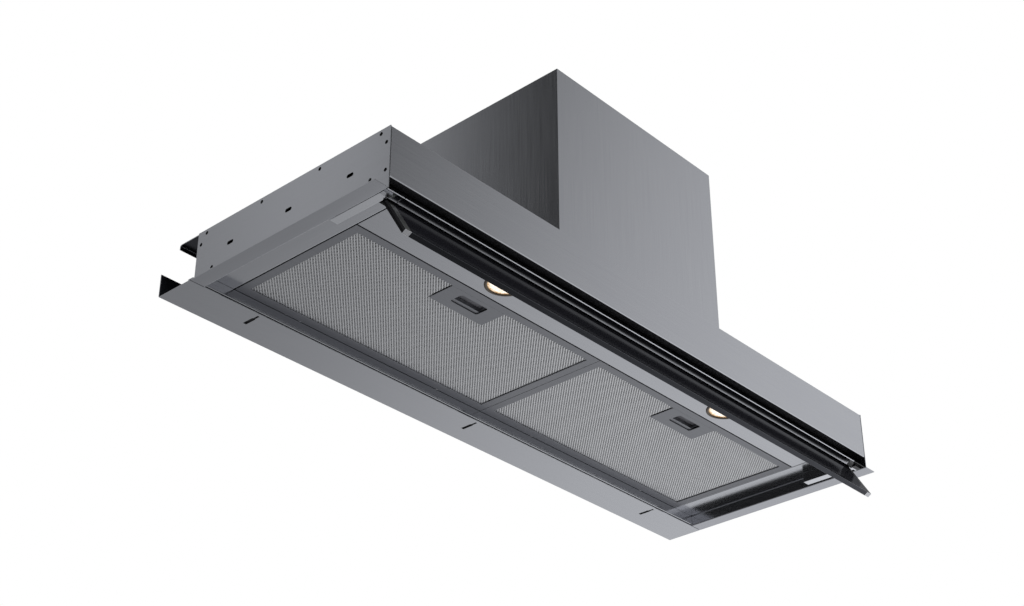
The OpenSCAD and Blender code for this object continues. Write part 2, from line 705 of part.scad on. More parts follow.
module filter_grip(side) color("#76777b") filter_place(side) translate([0, border_front, 0]) difference() {
    union() {
        translate([0, rivet_play, 0]) linear_extrude(sheet) rounded_rect(grip_w, grip_d, grip_r);
        block([-grip_w / 2, 2 * frame_wall - border_front, frame_wall],
            [grip_w / 2, 2 * sheet, frame_wall + sheet]);
        block([-grip_w / 2, rivet_play, 0], [grip_w / 2, 2 * sheet, frame_wall + sheet]);
        block([-latch_half - fit_gap - sheet, pocket_y - 2 * sheet, sheet - lap],
            [latch_half + fit_gap + sheet, pocket_y + cup_d + sheet, filter_h - frame_wall - rivet_play]);
    }
    block([-latch_half - fit_gap, pocket_y - sheet, sheet],
        [latch_half + fit_gap, pocket_y + cup_d, filter_h - frame_wall - rivet_play - sheet]);
    translate([0, pocket_y, -over]) linear_extrude(2 * sheet) rounded_rect(pocket_w, pocket_d, pocket_r);
    for (e = [-1, 1]) on_side(e)
        block([bolt_x - fit_gap, -border_front, bolt_z - fit_gap],
            [latch_half + fit_gap, pocket_y, bolt_z + bolt_h + fit_gap]);
}

module filter_latch(side) color("#3a3a3d") filter_place(side) {
    block([-latch_half, latch_y, lip_z], [latch_half, latch_y + latch_t, bolt_z + bolt_h]);
    for (e = [-1, 1]) on_side(e)
        block([bolt_x, -fit_gap, bolt_z], [latch_half, latch_y + lap, bolt_z + bolt_h]);
}

// Zigzag leaf spring between the latch and the end of the cup
module latch_spring(side) color("#c4c5c8") filter_place(side)
    translate([0, latch_y + latch_t + spring_t + fit_gap, 0]) along_x(-spring_w / 2, spring_w / 2)
        folded([for (i = [0:8]) [i * (spring_l - 2 * spring_t - 2 * fit_gap) / 8,
            i % 2 == 0 ? lip_z + 2 * sheet : bolt_z + bolt_h]], spring_t, 0);

// Rear filler strip

function strip_places() = [-strip_pitch, 0, strip_pitch];
function step_start() = body_d + strip_seam + step_y;
function stud_y() = step_start() + step_narrow_l + step_wide_l - stud_d / 2 - 2 * fit_gap;

module rear_strip() color("#8b8c90") at_wall() difference() {
    along_x(-half_flange, half_flange)
        folded([[body_d + strip_seam, 0], [wall_y, 0], [wall_y, strip_h]]);
    for (x = strip_places()) translate([x, step_start(), 0]) {
        block([-step_narrow / 2, 0, -over], [step_narrow / 2, step_narrow_l + over, sheet + over]);
        block([-step_wide / 2, step_narrow_l, -over],
            [step_wide / 2, step_narrow_l + step_wide_l, sheet + over]);
    }
}

module strip_guides() color("#9a9b9f") at_wall() for (e = [-1, 1])
    translate([e * guide_x, 0, 0]) along_x(-guide_l / 2, guide_l / 2)
        folded([[panel_end_y - 4 * sheet, foot_z + sheet + fit_gap],
            [body_d + foot_l + 2 * fit_gap, foot_z + sheet + fit_gap],
            [body_d + foot_l + 2 * fit_gap, sheet], [wall_y - 4 * sheet, sheet]], sheet, 0);

module strip_studs() color("#2c2c2e") at_wall() for (x = strip_places()) {
    rod_z(x, stud_y(), 0.2 * sheet, foot_z + sheet, stud_d / 2);
    rod_z(x, stud_y(), foot_z + sheet, foot_z + sheet + 2 * stud_d / 5, stud_d);
}

// Blower

module blower_housing() color("#85868b") at_wall() difference() {
    block([-housing_w / 2, housing_y, body_h],
        [housing_w / 2, housing_y + housing_d, housing_z]);
    block([sheet - housing_w / 2, housing_y + sheet, body_h + sheet],
        [housing_w / 2 - sheet, housing_y + housing_d - sheet, housing_in_top]);
    block([housing_foot - housing_w / 2, housing_y + housing_foot, body_h - over],
        [housing_w / 2 - housing_foot, housing_y + housing_d - housing_foot, body_h + 3 * sheet]);
    rod_z(0, outlet_y, housing_in_top - over, housing_z + over, collar_r - collar_wall - ledge, round_fn);
    for (p = housing_screw_places())
        rod_z(p[0], p[1], body_h - over, body_h + 3 * sheet, screw_d / 2 + rivet_play);
    for (p = collar_screw_places())
        rod_z(p[0], p[1], housing_in_top - over, housing_z + over, screw_d / 2 + rivet_play);
}

function housing_screw_places() =
    [for (s = housing_screw_share, y = [housing_foot / 2, housing_d - housing_foot / 2])
        [s * (housing_w / 2 - housing_foot), housing_y + y]];

function collar_screw_places() = [for (a = [45:90:315])
    [(collar_r + collar_flange / 2) * cos(a), outlet_y + (collar_r + collar_flange / 2) * sin(a)]];

module housing_screws() color("#a9aaad") at_wall() {
    for (p = housing_screw_places()) {
        rod_z(p[0], p[1], body_h - 3 * sheet, body_h + sheet, screw_d / 2);
        rod_z(p[0], p[1], body_h + sheet, body_h + sheet + screw_head_h, screw_head_d / 2);
    }
    for (a = bracket_turns)
        translate([0, fan_y + bracket_r * cos(a), fan_z + bracket_r * sin(a)]) {
            rod_x(bracket_x - 2 * scroll_wall, bracket_x + scroll_wall, 0, 0, screw_d / 2);
            rod_x(bracket_x + scroll_wall, bracket_x + scroll_wall + screw_head_h, 0, 0, screw_head_d / 2);
        }
    for (p = collar_screw_places()) {
        rod_z(p[0], p[1], housing_in_top - 3 * sheet, housing_z + collar_base, screw_d / 2);
        rod_z(p[0], p[1], housing_z + collar_base, housing_z + collar_base + screw_head_h, screw_head_d / 2);
    }
}

// Points of the scroll's outline at a given distance inside its outer face
function scroll(d) = concat(
    [for (i = [0:36]) let (a = tongue_a + i * (360 - tongue_a) / 36, r = scroll_r + scroll_grow * i / 36 - d)
        [r * cos(a), r * sin(a)]],
    [[outlet_r - d, outlet_h + (d > 0 ? sheet : 0)],
        [scroll_r * cos(tongue_a) + d, outlet_h + (d > 0 ? sheet : 0)]]);

module fan_place() at_wall() translate([0, fan_y, fan_z]) children();

module fan_scroll() color("#3c3d40") fan_place() difference() {
    along_x(-scroll_w / 2, scroll_w / 2) polygon(scroll(0));
    along_x(scroll_wall - scroll_w / 2, scroll_w / 2 - scroll_wall) polygon(scroll(scroll_wall));
    rod_x(-scroll_w / 2 - over, scroll_w / 2 + over, 0, 0, inlet_r, round_fn);
    for (a = bracket_turns)
        rod_x(0, scroll_w / 2 + over, bracket_r * cos(a), bracket_r * sin(a), screw_d / 2 + rivet_play);
}

module impeller() color("#55565a") fan_place() difference() {
    hoop_x = impeller_w / 2 - scroll_wall;
    union() {
        for (e = [-1, 1]) difference() {
            rod_x(e * hoop_x - scroll_wall, e * hoop_x + scroll_wall, 0, 0, impeller_r, round_fn);
            rod_x(e * hoop_x - 2 * scroll_wall, e * hoop_x + 2 * scroll_wall, 0, 0,
                impeller_r - blade_d, round_fn);
        }
        rod_x(-scroll_wall, scroll_wall / 2, 0, 0, impeller_r - scroll_wall, round_fn);
        rod_x(-3 * scroll_wall, 0, 0, 0, 3 * shaft_r, small_fn);
        for (i = [0:blades - 1]) rotate([i * 360 / blades, 0, 0])
            block([-impeller_w / 2, impeller_r - blade_d, -scroll_wall / 4],
                [impeller_w / 2, impeller_r - scroll_wall / 2, scroll_wall / 4]);
    }
    rod_x(-4 * scroll_wall, scroll_wall, 0, 0, shaft_r + pin_fit / 2);
}

module fan_shaft() color("#c0c1c4") fan_place()
    rod_x(-4 * scroll_wall, motor_x + motor_l + 2 * scroll_wall, 0, 0, shaft_r);

module motor() color("#4a4b4f") fan_place() difference() {
    union() {
        rod_x(motor_x, motor_x + motor_l, 0, 0, motor_r, round_fn);
        rod_x(motor_x - scroll_wall, motor_x + motor_l + scroll_wall / 2, 0, 0, 3 * shaft_r, small_fn);
    }
    rod_x(motor_x - 2 * scroll_wall, motor_x + motor_l + scroll_wall, 0, 0, shaft_r + pin_fit);
}

module motor_bracket() color("#9fa0a3") fan_place() difference() {
    union() {
        rod_x(bracket_x, bracket_x + scroll_wall, 0, 0, motor_r / 2, round_fn);
        for (a = bracket_turns) rotate([a, 0, 0])
            block([bracket_x, 0, -motor_r / 5],
                [bracket_x + scroll_wall, bracket_r + 1.2 * screw_d, motor_r / 5]);
        rod_x(motor_x + motor_l, bracket_x + lap, 0, 0, motor_r / 2, round_fn);
    }
    rod_x(motor_x, bracket_x + 2 * scroll_wall, 0, 0, 4 * shaft_r, small_fn);
    for (a = bracket_turns) rotate([a, 0, 0])
        rod_x(bracket_x - over, bracket_x + scroll_wall + over, bracket_r, 0, screw_d / 2 + rivet_play);
}

// Duct collar and its non-return dampers

module duct_collar() color("#2f3033") at_wall() translate([0, outlet_y, 0]) difference() {
    union() {
        rod_z(0, 0, housing_z, housing_z + collar_base, collar_r + collar_flange, round_fn);
        rod_z(0, 0, housing_z, housing_z + collar_h, collar_r, round_fn);
    }
    rod_z(0, 0, housing_z - over, housing_z + collar_h + over, collar_r - collar_wall - ledge, round_fn);
    rod_z(0, 0, housing_z + 2 * collar_base, housing_z + collar_h + over, collar_r - collar_wall, round_fn);
    translate([0, collar_r, spindle_z]) rotate([90, 0, 0])
        cylinder(h = 2 * collar_r, r = spindle_r + rivet_play, $fn = small_fn);
    for (p = collar_screw_places())
        rod_z(p[0], p[1] - outlet_y, housing_z - over, housing_z + collar_base + over,
            screw_d / 2 + rivet_play);
}

module damper_spindle() color("#c0c1c4") at_wall() translate([0, outlet_y + collar_r - fit_gap, spindle_z])
    rotate([90, 0, 0]) cylinder(h = 2 * (collar_r - fit_gap), r = spindle_r, $fn = small_fn);

// Half disc with knuckles on the spindle; the two dampers' knuckles take turns along it
module damper(side) color("#6d6e72") at_wall() translate([0, outlet_y, 0]) on_side(side) {
    radius = collar_r - collar_wall - 2 * fit_gap;
    difference() {
        union() {
            intersection() {
                rod_z(0, 0, damper_z, damper_z + damper_t, radius, round_fn);
                block([spindle_r + 2 * damper_t, -radius, 0], [radius, radius, damper_z + damper_t]);
            }
            for (i = [-2:2]) let (y = (i + (side > 0 ? 0 : 0.5)) * radius / 3)
                block([0, y - radius / 14, damper_z], [spindle_r + 4 * damper_t, y + radius / 14,
                    damper_z + damper_t]);
            for (i = [-2:2]) let (y = (i + (side > 0 ? 0 : 0.5)) * radius / 3)
                translate([0, y + radius / 14, spindle_z]) rotate([90, 0, 0])
                    cylinder(h = radius / 7, r = spindle_r + 2 * damper_t, $fn = small_fn);
        }
        translate([0, radius, spindle_z]) rotate([90, 0, 0])
            cylinder(h = 2 * radius, r = spindle_r + pin_fit, $fn = small_fn);
    }
}

// Controls

module control_box() color("#97989c") at_wall() translate([box_x, box_y, body_h]) difference() {
    block([-box_l / 2, 0, 0], [box_l / 2, box_d, box_h]);
    block([sheet - box_l / 2, sheet, sheet], [box_l / 2 - sheet, box_d - sheet, box_h + over]);
    translate([0, box_d + over, box_h / 2]) rotate([90, 0, 0])
        cylinder(h = 2 * sheet, r = gland_d / 2, $fn = small_fn);
}

module control_box_lid() color("#8b8c90") at_wall()
    translate([box_x, box_y, body_h + box_h]) {
    block([-box_l / 2, 0, 0], [box_l / 2, box_d, sheet]);
    for (y = [2 * sheet, box_d - 3 * sheet])
        block([2 * sheet - box_l / 2, y, -3 * sheet], [box_l / 2 - 2 * sheet, y + sheet, lap]);
}

module power_board() color("#1f5d3a") at_wall() translate([box_x, box_y, body_h + sheet]) {
    block([-box_l / 3, box_d / 6, 4 * sheet], [box_l / 3, 5 * box_d / 6, 6 * sheet]);
    for (x = [-1, 1], y = [0.2, 0.8])
        rod_z(x * box_l / 3.4, y * box_d, 0, 4 * sheet + lap, screw_d);
    block([-box_l / 4, box_d / 3, 6 * sheet - lap], [-box_l / 12, 2 * box_d / 3, box_h / 2]);
    block([box_l / 12, box_d / 2, 6 * sheet - lap], [box_l / 4, 3 * box_d / 4, box_h / 3]);
}

module cable_gland() color("#202022") at_wall()
    translate([box_x, box_y + box_d, body_h + box_h / 2]) rotate([-90, 0, 0]) difference() {
        union() {
            rod_z(0, 0, 0, gland_d / 2, gland_d / 2 + 2 * sheet);
            rod_z(0, 0, -3 * sheet, lap, gland_d / 2 - rivet_play);
            rod_z(0, 0, 0, gland_d, gland_d / 2 - sheet);
        }
        rod_z(0, 0, -4 * sheet, gland_d + over, gland_d / 4);
    }

// Rivets through the end panels, heads inside and ends just below the panel's face

module panel_rivets() color("#17171a") at_wall() for (side = [-1, 1], p = rivet_list) on_side(side) {
    inner = p[0] < rivet_y && p[1] < body_h - 2 * rivet_drop ? fascia_half - sheet : side_flange_x;
    rod_x(inner - rivet_play, half_out - 3 * rivet_play, p[0], p[1], rivet_hole_d / 2 - rivet_play);
    rod_x(inner - rivet_play - sheet, inner - rivet_play, p[0], p[1], rivet_head_r);
}

end_panel(-1);  // end_panel_left
end_panel(1);  // end_panel_right
fascia();
top_plate();
rear_wall();
light_bar();
side_bar(-1);  // side_bar_left
side_bar(1);  // side_bar_right
flap_trough();
front_rail();
rail_corner(-1);  // rail_corner_left
rail_corner(1);  // rail_corner_right
hinge_block(-1);  // hinge_block_left
hinge_block(1);  // hinge_block_right
hinge_cover(-1);  // hinge_cover_left
hinge_cover(1);  // hinge_cover_right
lamp_bezel(-1);  // lamp_bezel_left
lamp_bezel(1);  // lamp_bezel_right
lamp_lens(-1);  // lamp_lens_left
lamp_lens(1);  // lamp_lens_right
lamp_modules();
blower_housing();
duct_collar();
damper_spindle();
fan_scroll();
motor();
motor_bracket();
control_box();
control_box_lid();
power_board();
cable_gland();
panel_rivets();
housing_screws();
strip_studs();
rear_strip();
strip_guides();
flap_carrier();
flap_glass();
flap_edge_strip();
flap_end_cap(-1);  // flap_end_cap_left
flap_end_cap(1);  // flap_end_cap_right
flap_pins();
touch_board();
filter_frame(-1);  // filter_frame_left
filter_mesh(-1);  // filter_mesh_left
filter_pack(-1);  // filter_pack_left
filter_grip(-1);  // filter_grip_left
filter_latch(-1);  // filter_latch_left
latch_spring(-1);  // latch_spring_left
filter_frame(1);  // filter_frame_right
filter_mesh(1);  // filter_mesh_right
filter_pack(1);  // filter_pack_right
filter_grip(1);  // filter_grip_right
filter_latch(1);  // filter_latch_right
latch_spring(1);  // latch_spring_right
impeller();
fan_shaft();
damper(-1);  // damper_left
damper(1);  // damper_right
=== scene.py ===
"""Looks of a built-in range hood seen from below: brushed sheet, two mesh filters, lamps and a glass flap."""
import json
import math

import bmesh
import bpy
import numpy as np
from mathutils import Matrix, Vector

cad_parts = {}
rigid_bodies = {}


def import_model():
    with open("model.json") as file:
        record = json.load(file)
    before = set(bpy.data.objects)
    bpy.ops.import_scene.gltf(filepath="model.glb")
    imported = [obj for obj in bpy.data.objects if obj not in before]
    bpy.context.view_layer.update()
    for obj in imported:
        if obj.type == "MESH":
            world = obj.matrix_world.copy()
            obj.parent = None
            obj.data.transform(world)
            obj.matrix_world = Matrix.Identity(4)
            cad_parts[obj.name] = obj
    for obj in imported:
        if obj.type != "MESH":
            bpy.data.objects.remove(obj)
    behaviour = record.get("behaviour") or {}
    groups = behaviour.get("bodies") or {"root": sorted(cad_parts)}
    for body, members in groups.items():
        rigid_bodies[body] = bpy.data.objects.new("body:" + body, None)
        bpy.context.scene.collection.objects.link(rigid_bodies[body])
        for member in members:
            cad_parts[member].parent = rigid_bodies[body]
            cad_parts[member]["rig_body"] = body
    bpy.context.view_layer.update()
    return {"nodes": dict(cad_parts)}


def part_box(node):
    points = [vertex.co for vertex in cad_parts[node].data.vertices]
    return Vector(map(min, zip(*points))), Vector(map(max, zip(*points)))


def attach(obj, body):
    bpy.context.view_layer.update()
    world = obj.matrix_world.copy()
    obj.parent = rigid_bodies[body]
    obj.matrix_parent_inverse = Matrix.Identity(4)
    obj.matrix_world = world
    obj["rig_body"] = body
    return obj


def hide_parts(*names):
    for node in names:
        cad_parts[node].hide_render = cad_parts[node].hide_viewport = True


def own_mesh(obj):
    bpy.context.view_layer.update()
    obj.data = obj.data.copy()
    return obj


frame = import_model()
nodes = frame["nodes"]

# Millimetres, measured from the fascia's face, the middle of the width and the underside of the flanges.
MM = 0.001
WALL_Y = 335.0
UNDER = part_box("end_panel_left")[0].z
SIDES = ("left", "right")


def placed(points):
    """Part-frame metres from millimetres: x / 1000, (y - wall) / 1000, z / 1000 + the flanges' underside."""
    points = np.asarray(points, float)
    return points * MM + np.array([0.0, -WALL_Y * MM, UNDER])


def linear(code):
    """Linear RGBA of an sRGB hex colour: c / 12.92 up to 0.04045, else ((c + 0.055) / 1.055) ** 2.4."""
    c = np.array([int(code[i:i + 2], 16) / 255 for i in (1, 3, 5)])
    c = np.where(c <= 0.04045, c / 12.92, ((c + 0.055) / 1.055) ** 2.4)
    return (*c.tolist(), 1.0)


def add(tree, kind, settings=None, inputs=None):
    """Adds a node, sets its own settings, and sets or links each input."""
    node = tree.nodes.new(kind)
    for key, value in (settings or {}).items():
        setattr(node, key, value)
    for key, value in (inputs or {}).items():
        if isinstance(value, bpy.types.NodeSocket):
            tree.links.new(value, node.inputs[key])
        else:
            node.inputs[key].default_value = value
    return node


# Finishes

def blank(name, **sockets):
    """A material with a shader whose own sockets hold what is the same all over the surface."""
    material = bpy.data.materials.new(name)
    material.use_nodes = True
    tree = material.node_tree
    shader = tree.nodes["Principled BSDF"]
    for key, value in sockets.items():
        shader.inputs[key.replace("_", " ")].default_value = value
    return material, tree, shader


def laid_out(tree, kind, periods, settings=None, inputs=None):
    """A texture on Object coordinates whose repeats or grains are as long as the periods, in millimetres."""
    where = add(tree, "ShaderNodeTexCoord")
    sized = add(tree, "ShaderNodeMapping", None, {
        "Vector": where.outputs["Object"], "Scale": [1 / (period * MM) for period in periods]})
    return add(tree, kind, settings, {"Vector": sized.outputs["Vector"], "Scale": 1.0, **(inputs or {})})


def coat(tree, shader, value, tones, gloss, height, depth, strength):
    """Colour, roughness and relief from patterns. Tones and gloss each hold the low and high value of the
    pattern and what it becomes there; the relief's depth is in millimetres."""
    low, high, dark, light = tones
    share = add(tree, "ShaderNodeMapRange", None, {"Value": value, "From Min": low, "From Max": high})
    colour = add(tree, "ShaderNodeMix", {"data_type": "RGBA"}, {
        "Factor": share.outputs["Result"], 6: linear(dark), 7: linear(light)})
    low, high, smooth, rough = gloss
    roughness = add(tree, "ShaderNodeMapRange", None, {
        "Value": value, "From Min": low, "From Max": high, "To Min": smooth, "To Max": rough})
    bump = add(tree, "ShaderNodeBump", None, {
        "Height": height, "Distance": depth * MM, "Strength": strength})
    tree.links.new(colour.outputs[2], shader.inputs["Base Color"])
    tree.links.new(roughness.outputs["Result"], shader.inputs["Roughness"])
    tree.links.new(bump.outputs["Normal"], shader.inputs["Normal"])


def brushed(name, along, dark, light, rough, scratch=0.9, depth=0.01):
    """Belt-brushed metal. Long faint grain that streaks the highlight; the real scratches are 0.1 mm wide and
    are drawn 0.5 to 1.6 mm wide so that they show. A slow cloud in the gloss stands for handling."""
    periods = [scratch] * 3
    periods["xyz".index(along)] = 90.0
    material, tree, shader = blank(name, Metallic=1.0)
    grain = laid_out(tree, "ShaderNodeTexNoise", periods, None, {"Detail": 4.0, "Roughness": 0.55})
    cloud = laid_out(tree, "ShaderNodeTexNoise", [160.0] * 3, None, {"Detail": 2.0})
    both = add(tree, "ShaderNodeMath", {"operation": "MULTIPLY_ADD"}, {
        0: cloud.outputs["Fac"], 1: 0.35, 2: grain.outputs["Fac"]})
    coat(tree, shader, both.outputs["Value"], tones=(0.45, 0.9, dark, light),
         gloss=(0.45, 0.9, rough - 0.02, rough + 0.02),
         height=grain.outputs["Fac"], depth=depth, strength=0.12)
    return material


def zinc_sheet():
    """Hot-dip zinc-coated sheet. Faint 9 mm spangles that differ in gloss, under a dull skin."""
    material, tree, shader = blank("zinc_coated_sheet", Metallic=1.0)
    spangles = laid_out(tree, "ShaderNodeTexVoronoi", [9.0] * 3, {"voronoi_dimensions": "3D"})
    tone = add(tree, "ShaderNodeSeparateColor", None, {"Color": spangles.outputs["Color"]})
    skin = laid_out(tree, "ShaderNodeTexNoise", [1.4] * 3, None, {"Detail": 4.0})
    both = add(tree, "ShaderNodeMath", {"operation": "MULTIPLY_ADD"}, {
        0: tone.outputs[0], 1: 0.5, 2: skin.outputs["Fac"]})
    coat(tree, shader, both.outputs["Value"], tones=(0.3, 1.1, "#a3a5a9", "#b9bbc0"),
         gloss=(0.3, 1.1, 0.3, 0.44), height=skin.outputs["Fac"], depth=0.03, strength=0.3)
    return material


def moulded(name, dark, light, rough, grain=0.8, depth=0.03, **sockets):
    """Moulded plastic, paint, plating or cast metal. A fine even grain, in millimetres, breaks up the sheen
    and a slow cloud shifts the tone."""
    material, tree, shader = blank(name, **sockets)
    fine = laid_out(tree, "ShaderNodeTexNoise", [grain] * 3, None, {"Detail": 4.0})
    cloud = laid_out(tree, "ShaderNodeTexNoise", [45.0] * 3, None, {"Detail": 2.0})
    both = add(tree, "ShaderNodeMath", {"operation": "MULTIPLY_ADD"}, {
        0: cloud.outputs["Fac"], 1: 0.6, 2: fine.outputs["Fac"]})
    coat(tree, shader, both.outputs["Value"], tones=(0.5, 1.1, dark, light),
         gloss=(0.5, 1.1, rough - 0.05, rough + 0.07),
         height=fine.outputs["Fac"], depth=depth, strength=0.5)
    return material


def black_glass():
    """Tempered black-backed glass. Mirror-like, with a trace of roller wave and of dust. The low IOR keeps
    the grazing reflections as weak as on the real, coated pane."""
    material, tree, shader = blank("tempered_black_glass", IOR=1.06)
    dust = laid_out(tree, "ShaderNodeTexNoise", [0.9] * 3, None, {"Detail": 3.0, "Roughness": 0.6})
    wave = laid_out(tree, "ShaderNodeTexNoise", [60.0, 25.0, 25.0], None, {"Detail": 1.0})
    coat(tree, shader, dust.outputs["Fac"], tones=(0.55, 0.75, "#1f1f23", "#27272c"),
         gloss=(0.4, 0.7, 0.08, 0.13), height=wave.outputs["Fac"], depth=0.05, strength=0.25)
    return material


def lamp_glass():
    """Pressed prismatic glass over warm white lamps. Bright 2.2 mm pips that turn amber at the rim."""
    material, tree, shader = blank("prismatic_lamp_glass", Roughness=0.25, IOR=1.5, Emission_Strength=0.9)
    pips = laid_out(tree, "ShaderNodeTexVoronoi", [2.2] * 3)
    rim = add(tree, "ShaderNodeAttribute", {"attribute_name": "to_rim"})
    between_pips = add(tree, "ShaderNodeMapRange", None, {
        "Value": pips.outputs["Distance"], "From Min": 0.3, "From Max": 0.8, "To Max": 0.45})
    near_rim = add(tree, "ShaderNodeMapRange", None, {
        "Value": rim.outputs["Fac"], "From Min": 0.8, "From Max": 1.0, "To Max": 0.8})
    amber = add(tree, "ShaderNodeMath", {"operation": "ADD", "use_clamp": True}, {
        0: near_rim.outputs["Result"], 1: between_pips.outputs["Result"]})
    for socket, bright, dull in (
            ("Emission Color", "#fff9f0", "#bf9a68"), ("Base Color", "#e8dcc6", "#8c6a3f")):
        colour = add(tree, "ShaderNodeMix", {"data_type": "RGBA"}, {
            "Factor": amber.outputs["Value"], 6: linear(bright), 7: linear(dull)})
        tree.links.new(colour.outputs[2], shader.inputs[socket])
    bump = add(tree, "ShaderNodeBump", None, {
        "Height": pips.outputs["Distance"], "Distance": 0.4 * MM, "Strength": 0.6})
    tree.links.new(bump.outputs["Normal"], shader.inputs["Normal"])
    return material


def circuit():
    """Glass-fibre circuit board with a green mask. Copper runs show as lighter lines on a 5 mm raster."""
    material, tree, shader = blank("circuit_board", Roughness=0.35)
    runs = laid_out(tree, "ShaderNodeTexBrick", [5.0] * 3, None, {
        "Color1": linear("#14482d"), "Color2": linear("#1b5a39"), "Mortar": linear("#2f7d4f"),
        "Mortar Size": 0.06})
    bump = add(tree, "ShaderNodeBump", None, {
        "Height": runs.outputs["Fac"], "Distance": 0.05 * MM, "Strength": 0.6})
    tree.links.new(runs.outputs["Color"], shader.inputs["Base Color"])
    tree.links.new(bump.outputs["Normal"], shader.inputs["Normal"])
    return material


FINISH = {
    # Stainless sheet, belt-brushed along its own length: a soft grey that streaks along the grain.
    "long": brushed("brushed_stainless_lengthwise", "x", "#c2c3c7", "#c9cacd", 0.18),
    "deep": brushed("brushed_stainless_crosswise", "y", "#c2c3c7", "#c9cacd", 0.18),
    "upright": brushed("brushed_stainless_upright", "z", "#c2c3c7", "#c9cacd", 0.18, 1.6),
    # The same sheet drawn a shade darker as painted shade: on the end panels' downward flanges and folds, and
    # on the rear wall's face inside the recess.
    "flange": brushed("brushed_stainless_flange_painted_shade", "y", "#b8b9bd", "#bfc0c4", 0.18),
    "shade": brushed("brushed_stainless_wall_painted_shade", "x", "#a6a7ab", "#aeafb3", 0.2),
    # Painted shade: sheet deep in the gap behind the hood, drawn nearly black, with a faint grain.
    "dim": brushed("sheet_in_painted_shadow", "x", "#3a3b40", "#44454a", 0.3),
    # Coarser brushed filter frame: darker and broader in its highlight than the body.
    "filter": brushed("brushed_filter_steel", "x", "#95969a", "#a0a1a5", 0.42, 0.7),
    # Grip cup: smooth dark grey, painted shade inside the cup.
    "pocket": moulded("grip_cup_painted_shade", "#606064", "#6c6c71", 0.3, 0.5, 0.02),
    # Polished cover beside the flap: the brightest metal, with a sharp highlight.
    "cover": brushed("polished_hinge_cover", "y", "#dcdde0", "#e4e5e8", 0.12),
    # Galvanised sheet: dull light grey with a spangle.
    "zinc": zinc_sheet(),
    # Anodised aluminium extrusions: satin rail, pale cap tips, dull caps and the flap's dark edge.
    "rail": brushed("satin_anodised_rail", "x", "#bcbdc1", "#c8c9cc", 0.2, 0.5),
    "tip": moulded("satin_anodised_tip", "#e6e7e9", "#f2f2f4", 0.3, 0.4, 0.01, Metallic=1.0),
    "cap": moulded("anodised_end_cap", "#747672", "#8b8d89", 0.3, 0.4, 0.01, Metallic=1.0),
    "edge": brushed("dark_anodised_edge", "x", "#4c4d51", "#58595e", 0.2, 0.5),
    # Blacks: a glossy moulded end piece, drawn on the rail's right end as painted shade, a matt paint that
    # swallows light, and a satin powder coat, which also stands in as painted shade under the fascia's
    # return, under the rear wall and on the right flap cap.
    "stub": moulded("glossy_black_end_piece_painted_shade", "#0a0a0c", "#111113", 0.2, 0.6, 0.01),
    "matte": moulded("matt_black_paint", "#09090b", "#101012", 0.55, 0.7, 0.04, Specular_IOR_Level=0.2),
    "black": moulded("black_powder_coat_and_painted_shade", "#0b0b0d", "#151518", 0.42, 0.7, 0.04),
    # Glass: the flap's deep black pane, and the lamps' glowing warm lenses in their dark bronze rings.
    "glass": black_glass(),
    "lamp": lamp_glass(),
    "bezel": moulded("dark_bronze_plating", "#5d564e", "#75695c", 0.3, 0.5, 0.01, Metallic=1.0),
    # Bare aluminium: glinting expanded strands over a duller corrugated foil.
    "mesh": moulded("expanded_aluminium", "#e6e6e7", "#eeeeee", 0.2, 0.9, 0.01, Metallic=1.0),
    "foil": moulded("corrugated_aluminium_foil", "#c6c7c9", "#d2d3d5", 0.42, 0.9, 0.03, Metallic=1.0),
    # Moulded plastics: dull greys and blacks with the fine grain of their tools.
    "collar": moulded("moulded_polypropylene", "#26272a", "#323337", 0.45, 0.9),
    "scroll": moulded("moulded_glass_filled_nylon", "#2b2c2f", "#3b3c40", 0.5, 0.6),
    "fan": moulded("moulded_fan_polymer", "#3d3e42", "#4c4d52", 0.45, 0.6),
    "damper": moulded("moulded_damper_polymer", "#56575b", "#696a6f", 0.45, 0.7),
    "nylon": moulded("black_nylon", "#121214", "#1e1e21", 0.4, 0.5),
    # Motor and hardware: sprayed enamel, sand-cast aluminium, plated and ground steel, blackened rivets.
    "enamel": moulded("grey_motor_enamel", "#34353a", "#45464b", 0.35, 0.8),
    "cast": moulded("cast_heat_sink", "#8e8f92", "#a9aaad", 0.5, 1.0, 0.08, Metallic=1.0),
    "screw": moulded("zinc_plated_steel", "#a6a8ab", "#c0c2c4", 0.3, 0.4, 0.01, Metallic=1.0),
    "ground": moulded("ground_steel", "#b0b1b4", "#c9cacc", 0.18, 0.3, 0.005, Metallic=1.0),
    "rivet": moulded("blackened_rivet", "#050506", "#0b0b0c", 0.7, 0.4, 0.02, Specular_IOR_Level=0.1),
    "board": circuit(),
}


# Shapes

def piece(name, points, quads, finish, smooth=True):
    """A mesh object from an array of points and an array of quads."""
    mesh = bpy.data.meshes.new(name)
    points = np.asarray(points, np.float32).reshape(-1, 3)
    quads = np.asarray(quads, np.int32).reshape(-1, 4)
    mesh.vertices.add(len(points))
    mesh.vertices.foreach_set("co", points.ravel())
    mesh.loops.add(quads.size)
    mesh.loops.foreach_set("vertex_index", quads.ravel())
    mesh.polygons.add(len(quads))
    mesh.polygons.foreach_set("loop_start", np.arange(0, quads.size, 4, dtype=np.int32))
    mesh.polygons.foreach_set("use_smooth", np.full(len(quads), smooth))
    mesh.update(calc_edges=True)
    mesh.validate()
    mesh.materials.append(FINISH[finish])
    thing = bpy.data.objects.new(name, mesh)
    bpy.context.scene.collection.objects.link(thing)
    return thing


def grid_quads(rows, columns, wrap_rows=False, wrap_columns=False):
    """Quads between neighbours of a grid; a wrapped direction joins the last line to the first."""
    i, j = np.meshgrid(np.arange(rows - (not wrap_rows)), np.arange(columns - (not wrap_columns)),
                       indexing="ij")
    p = (i + 1) % rows
    q = (j + 1) % columns
    return np.stack([i * columns + j, p * columns + j, p * columns + q, i * columns + q], -1).reshape(-1, 4)


